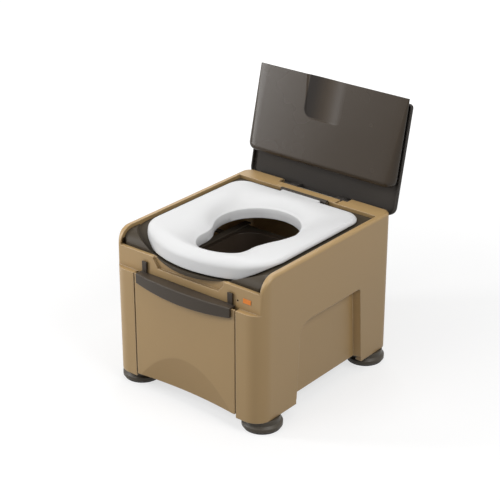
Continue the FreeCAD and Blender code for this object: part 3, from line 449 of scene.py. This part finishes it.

# Drawer
# The pail hangs by its rim in a dark tray that runs in two channels. The tan front panel, rougher and with
# painted shade in the arch at its foot, is screwed to the tray, and a bowed brown pull is clipped over its
# top edge with two tongues.
runner_moulding = moulding("runner moulding", colour=(0.085, 0.068, 0.050), rubbed_and_highlit=(0.15, 0.125, 0.10),
                           rough=0.40, grain=900.0, grain_depth=0.00006, edge=0.0010)
wear(runner_moulding, "runner_left", "runner_right", "drawer_tray")
pail_moulding = moulding("pail moulding", colour=(0.046, 0.033, 0.023), rubbed_and_highlit=(0.09, 0.07, 0.05), rough=0.26,
                         grain=500.0, grain_depth=0.00005, edge=0.0015)
wear(pail_moulding, "pail")

panel_low, panel_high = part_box("drawer_front")
panel_gap, panel_t, panel_edge, panel_corner = 0.0012, 0.004, 0.0015, 0.0035
panel_half = panel_high[0] - panel_gap
panel_flat = panel_half - panel_edge
arch_depth, arch_high, arch_half = 0.0095, 0.090, 0.143
columns, arch_rows, row_step = 56, 35, 0.0026
edge_x = [panel_half - panel_edge * (1 - math.sin(math.pi / 8 * i)) for i in range(5)]
flat_x = [panel_flat * i / columns for i in range(1 - columns, columns)]
panel_x = sorted([-x for x in edge_x] + flat_x + edge_x)
panel_up = [0.0, 0.0002, 0.0005, 0.0009, 0.0015, 0.0024, panel_corner]
panel_up += [panel_corner + row_step * (i + 1) for i in range(arch_rows)] + [panel_high[2] - panel_low[2]]


def panel_row(up):
    """One cut across the panel, with its rounded edges and the arch that hollows its foot."""
    lift = max(0.0, panel_corner - up)
    half = panel_half - panel_corner + math.sqrt(panel_corner ** 2 - lift ** 2)
    z = panel_low[2] + up
    front, back = [], []
    for x in panel_x:
        x *= half / panel_half
        hollow = max(0.0, arch_depth * (1 - up / arch_high - (x / arch_half) ** 2))
        edge = max(0.0, panel_edge - min(half - abs(x), up))
        soft = panel_edge - math.sqrt(max(0.0, panel_edge ** 2 - edge ** 2))
        front.append((x, panel_low[1] + hollow + soft, z))
        back.append((x, panel_low[1] + hollow + panel_t, z))
    return front + back[::-1]


panel_form = bmesh.new()
rings = [[panel_form.verts.new(p) for p in panel_row(up)] for up in panel_up]
for low_ring, high_ring in zip(rings, rings[1:]):
    for i in range(len(low_ring)):
        panel_form.faces.new((low_ring[i - 1], low_ring[i], high_ring[i], high_ring[i - 1]))
for ring in (rings[0], rings[-1]):
    for i in range(len(panel_x) - 1):
        panel_form.faces.new((ring[i], ring[i + 1], ring[-2 - i], ring[-1 - i]))
panel_moulding = moulding("panel moulding", **tan_plastic)
panel_spot = panel_moulding.add("ShaderNodeSeparateXYZ", {}, {0: panel_moulding.place}, out="X")
across = panel_spot * (1 / arch_half)
in_arch = 1 - (panel_spot.also("Z") - panel_low[2]) * (1 / arch_high) - across * across
arch_shade_mask = panel_moulding.ramp(in_arch, 0.0, 0.05)
arch_shade_tan = (0.320, 0.203, 0.083)
# painted shade: the colour darkens inside the arch at the panel's foot, where the surface is also rougher
panel_moulding.feed(
    Base_Color=panel_moulding.blend(arch_shade_mask * (0.42 + 0.10 * in_arch), panel_moulding.tone, arch_shade_tan),
    Roughness=panel_moulding.dullness + 0.12 * arch_shade_mask)
panel_piece = finished("drawer_front_moulding", panel_form, panel_moulding, "drawer_body")
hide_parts("drawer_front")
pull_moulding = moulding("pull moulding", colour=(0.055, 0.042, 0.030), rubbed_and_highlit=(0.11, 0.09, 0.07), rough=0.36,
                         grain=1100.0, grain_depth=0.00006, edge=0.0020, gloss=0.28)
wear(pull_moulding, "drawer_handle")

# Lid
# Two halves that fold together as a backrest: a dark tray hinged under a tan strap on the rear rail, and a
# brown hollow wedge on two short pins at the fold, with rolled sides, a finger hollow and two rubber studs.
rear_moulding = moulding("rear half moulding", colour=(0.056, 0.050, 0.045), rubbed_and_highlit=(0.070, 0.063, 0.057),
                         rough=0.50, grain=1200.0, grain_depth=0.00006, edge=0.0022, gloss=0.10)
wear(rear_moulding, "lid_rear", "lid_hinge_ear_left", "lid_hinge_ear_right")
wear(hinge_rod, "lid_hinge_pin", "lid_fold_pin_left", "lid_fold_pin_right")
wear(seat_button, "lid_stops")
wear(tan_moulding, "hinge_strap")
ear_low, ear_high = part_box("lid_hinge_ear_right")
ear_mid, ear_screw_up = (ear_low[0] + ear_high[0]) / 2, 0.006
ear_spots = [((side * ear_mid, ear_high[1], ear_low[2] + ear_screw_up), (0, 1, 0)) for side in (-1, 1)]
screwed("hinge_ear_screws", ear_spots, radius=0.0034, height=0.0014, recess=0.0009, body="body")

hinge = Vector(next(j["pos_m"] for j in frame["joints"] if j["name"] == "lid_hinge"))
upright, face_lean = math.radians(90 - 12), math.radians(5.06)
hinge_n, fold_n, back_n = 0.024, 0.012, 0.025
low_u, fold_u, top_u = 0.0670, 0.2785, 0.2875
plate_half, wall_t, end_r, end_roll = 0.224, 0.003, 0.020, 0.013
low_roll, top_roll, least_roll = 0.024, 0.008, 0.0002
barrel_near, barrel_far, barrel_r, bore_r = 0.2024, 0.2079, 0.0045, 0.00205
arm_mid_n, arm_deep = 0.0212, 0.0110
hollow_low, hollow_left, hollow_right = 0.1825, -0.076, 0.044
hollow_r, hollow_slant = 0.026, 0.012
hollow_deep, left_rise, deep_part = 0.0030, 0.0012, 0.34
step_out, step_in, backing_left, backing_right = -0.0006, 0.0014, 0.002, 0.016
fine, medium, coarse = 0.0012, 0.003, 0.006
end_rows, barrel_sides = 16, 28


def on_lid(x, u, n):
    """From across, up and out of the lid to its open place."""
    out = n - hinge_n
    return (x, hinge.y + u * math.cos(upright) - out * math.sin(upright),
            hinge.z + u * math.sin(upright) + out * math.cos(upright))


def face_level(u):
    """How far out the wedge's face lies at a height."""
    return back_n + wall_t + (top_u - u) * math.tan(face_lean)


def eased(start, stop, x):
    """A smooth step from 0 at start to 1 at stop."""
    t = min(1.0, max(0.0, (x - start) / (stop - start)))
    return t * t * (3 - 2 * t)


def hollow_depth(x, u):
    """Finger hollow: a short steep step on the left and below, a round floor that runs out on the right."""
    slant = hollow_slant * (top_u - u) / (top_u - hollow_low - hollow_r)
    left = hollow_left + min(slant, hollow_slant)
    across = x - left
    up = u - hollow_low
    if across < hollow_r and up < hollow_r:
        inside = hollow_r - math.hypot(hollow_r - across, hollow_r - up)
    else:
        inside = min(across, up)
    part = across / (hollow_right - left)
    if part >= 1:
        return 0.0
    if part < deep_part:
        floor_d = hollow_deep - left_rise * (1 - max(part, 0.0) / deep_part) ** 2
    else:
        floor_d = hollow_deep * (1 - eased(deep_part, 1.0, part))
    return floor_d * eased(step_out, step_in, inside)


def lid_section(u, inset):
    """One cut across the front half: side wall, roll, face, roll, side wall."""
    tail, fall = max(0.0, low_u + end_r - u), max(0.0, low_u + end_roll - u)
    half = plate_half - inset - end_r + math.sqrt(max(0.0, end_r ** 2 - tail ** 2))
    top = max(face_level(u) - inset - end_roll + math.sqrt(max(0.0, end_roll ** 2 - fall ** 2)), back_n)
    roll = low_roll + (top_roll - low_roll) * (u - low_u) / (top_u - low_u) - inset
    roll = max(least_roll, min(roll, top - back_n))
    arc = [(half - roll + roll * math.cos(a), top - roll + roll * math.sin(a))
           for a in [math.pi / 2 * i / 9 for i in range(10)]]
    side = [(half, back_n + (top - roll - back_n) * i / 3) for i in range(3)] + arc
    # inside, the hollow's backing ends within the notch of the rear half
    backed = [1 - eased(backing_left, backing_right, x) if inset else 1.0 for x in face_x]
    face = [(x, top - hollow_depth(x, u) * share) for x, share in zip(face_x, backed)]
    return [on_lid(-x, u, n) for x, n in side] + [on_lid(x, u, n) for x, n in face] + [
        on_lid(x, u, n) for x, n in reversed(side)]


def spread(*runs):
    """Values in runs of even steps."""
    out = []
    for start, stop, step in runs:
        count = max(1, round((stop - start) / step))
        out += [start + (stop - start) * i / count for i in range(count)]
    return out


# points lie close together round the steps of the finger hollow
face_x = spread((-0.195, -0.084, coarse), (-0.084, -0.036, fine),
                (-0.036, 0.046, medium), (0.046, 0.196, coarse))
row_u = [low_u + end_r * (1 - math.cos(math.pi / 2 * i / end_rows)) for i in range(end_rows)]
row_u += spread((low_u + end_r, 0.171, coarse), (0.171, 0.212, fine), (0.212, top_u, medium)) + [top_u]
lid_form = bmesh.new()
outside = woven(lid_form, [lid_section(u, 0.0) for u in row_u], closed=False)
inside = woven(lid_form, [lid_section(max(u, low_u + wall_t), wall_t) for u in row_u], closed=False)
lid_form.faces.new(outside[0])
lid_form.faces.new(inside[0])
lid_form.faces.new((outside[0][0], outside[0][-1], inside[0][-1], inside[0][0]))
for outer, inner in ((outside[-1], inside[-1]), ([r[0] for r in outside], [r[0] for r in inside]),
                     ([r[-1] for r in outside], [r[-1] for r in inside])):
    for i in range(len(outer) - 1):
        lid_form.faces.new((outer[i], outer[i + 1], inner[i + 1], inner[i]))
bmesh.ops.remove_doubles(lid_form, verts=lid_form.verts, dist=1e-6)
for side in (-1, 1):
    x0, x1 = sorted((side * barrel_near, side * barrel_far))
    barrel = []
    for angle in [2 * math.pi * i / barrel_sides for i in range(barrel_sides)]:
        up, out = math.cos(angle), math.sin(angle)
        barrel.append([on_lid(x, fold_u + r * up, fold_n + r * out)
                       for x, r in ((x0, barrel_r), (x1, barrel_r), (x1, bore_r), (x0, bore_r))])
    woven(lid_form, barrel)
    arm = bmesh.ops.create_cube(lid_form, size=1.0)["verts"]
    for v in arm:
        v.co = on_lid((x0 + x1) / 2 + (x1 - x0) * v.co.x, fold_u + 2 * barrel_r * v.co.y,
                      arm_mid_n + arm_deep * v.co.z)

front_moulding = moulding("front half moulding", colour=(0.044, 0.0315, 0.0205), rubbed_and_highlit=(0.075, 0.057, 0.040),
                          rough=0.22, grain=1200.0, grain_depth=0.00005, edge=0.0015, gloss=0.25, gap=0.022)
lid_up = Vector((0.0, math.cos(upright), math.sin(upright)))
lid_spot = front_moulding.add("ShaderNodeSeparateXYZ", {}, {0: front_moulding.place}, out="X")
from_left = lid_spot - (hollow_left + hollow_slant / 2)
lid_height = front_moulding.add("ShaderNodeVectorMath", {"operation": "DOT_PRODUCT"}, {
    0: front_moulding.place, 1: lid_up}, out="Value")
from_low = lid_height - (hinge.dot(lid_up) + hollow_low)
short_x = (hollow_r - from_left).at_least(0.0)
short_u = (hollow_r - from_low).at_least(0.0)
within = hollow_r - (short_x * short_x + short_u * short_u) ** 0.5
in_hollow = front_moulding.ramp(within, 0.0, 0.003, kind="SMOOTHSTEP")
# painted shade: the colour darkens on the finger hollow's floor towards its left step
hollow_shade_mask = in_hollow * front_moulding.ramp(from_left, 0.012, 0.074, 1.0, 0.0, "SMOOTHSTEP")
dulled = in_hollow * front_moulding.ramp(from_left, 0.050, 0.120, 1.0, 0.0, "SMOOTHSTEP")
hollow_shade_brown = (0.008, 0.0055, 0.004)
front_moulding.feed(Base_Color=front_moulding.blend(0.92 * hollow_shade_mask, front_moulding.tone, hollow_shade_brown),
                    Roughness=front_moulding.dullness + 0.40 * dulled)
lid_piece = finished("lid_front_moulding", lid_form, front_moulding, "lid_front_body")
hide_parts("lid_front")

# Studio
# A pale paper floor that keeps the object's shadow, in a plain white surround. Softboxes at the left and
# right and panels in front, overhead and behind light it. The camera stands where the photo was taken.
floor_half = 9
floor_mesh = bpy.data.meshes.new("floor")
floor_mesh.from_pydata([(-floor_half, -floor_half, 0), (floor_half, -floor_half, 0),
                        (floor_half, floor_half, 0), (-floor_half, floor_half, 0)], [], [(0, 1, 2, 3)])
floor = bpy.data.objects.new("floor", floor_mesh)
bpy.context.scene.collection.objects.link(floor)


def shown_white(nodes, lit, white):
    """Mix towards white on what the camera, a reflection or a clear piece sees directly."""
    ray = nodes.add("ShaderNodeLightPath", out="Is Camera Ray")
    seen = ray.at_least(ray.also("Is Glossy Ray")).at_least(ray.also("Is Transmission Ray"))
    return nodes.add("ShaderNodeMixShader", {}, {0: seen, 1: lit, 2: white})


paper = Finish("studio paper")
paper_tone = paper.add("ShaderNodeTexNoise", {}, {"Vector": paper.place, "Scale": 2.0})
paper_grey = paper.blend(paper_tone, (0.33, 0.33, 0.33), (0.35, 0.35, 0.35))
paper.feed(Base_Color=paper_grey, Roughness=0.9, Specular_IOR_Level=0.0)
from_object = paper.add("ShaderNodeVectorMath", {"operation": "LENGTH"}, {0: paper.place}, out="Value")
glow = paper.ramp(from_object, 0.45, 2.2, 0.68, 1.0, "SMOOTHSTEP")
bright = paper.add("ShaderNodeBsdfPrincipled", {}, {
    "Base Color": paper_grey, "Roughness": 0.9, "Specular IOR Level": 0.0,
    "Emission Color": glow, "Emission Strength": 1.0})
paper.join(shown_white(paper, Val(paper, paper.shader.outputs[0]), bright),
           paper.tree.nodes["Material Output"].inputs["Surface"])
floor_mesh.materials.append(paper.material)

world = bpy.data.worlds.new("surround")
bpy.context.scene.world = world
world.use_nodes = True
sky = Nodes(world.node_tree)
sky.tree.nodes.clear()
dim = sky.add("ShaderNodeBackground", {}, {"Color": (1, 1, 1, 1), "Strength": 0.03})
plain = sky.add("ShaderNodeBackground", {}, {"Color": (1, 1, 1, 1), "Strength": 1.0})
sky.add("ShaderNodeOutputWorld", {}, {"Surface": shown_white(sky, dim, plain)})


def softbox(name, place, aim, wide, high, power):
    """A soft rectangular lamp at a place, aimed at a point."""
    lamp = bpy.data.lights.new(name, "AREA")
    lamp.shape = "RECTANGLE"
    lamp.size = wide
    lamp.size_y = high
    lamp.energy = power
    holder = bpy.data.objects.new(name, lamp)
    bpy.context.scene.collection.objects.link(holder)
    holder.location = place
    holder.rotation_euler = (Vector(aim) - Vector(place)).to_track_quat("-Z", "Y").to_euler()
    holder.visible_camera = False


softbox("left softbox", place=(-1.85, -1.5, 1.1), aim=(0, 0.05, 0.4), wide=0.4, high=1.6, power=31)
softbox("front panel", place=(-0.7, -2.2, 2.2), aim=(0, 0, 0.35), wide=1.4, high=1.4, power=20)
softbox("right softbox", place=(2.0, -0.4, 2.0), aim=(0, 0, 0.35), wide=1.4, high=1.4, power=33)
softbox("overhead panel", place=(0.0, 0.0, 2.5), aim=(0, 0, 0.3), wide=1.8, high=1.8, power=23)
softbox("rear panel", place=(-1.3, 1.9, 2.4), aim=(0, 0, 0.35), wide=1.4, high=1.4, power=14)

photo_width, focal_pixels = 500.0, 1483.0
camera_down, camera_turn = math.radians(24.98), math.radians(39.11)
lens = bpy.data.cameras.new("camera")
lens.sensor_width = 36.0
lens.lens = focal_pixels / photo_width * lens.sensor_width
lens.clip_start = 0.1
lens.clip_end = 50.0
camera = bpy.data.objects.new("camera", lens)
bpy.context.scene.collection.objects.link(camera)
camera.location = (2.02775, -2.53743, 1.82222)
camera.rotation_euler = Euler((math.pi / 2 - camera_down, 0.0, camera_turn))
bpy.context.scene.camera = camera
bpy.context.scene.view_settings.view_transform = "Standard"
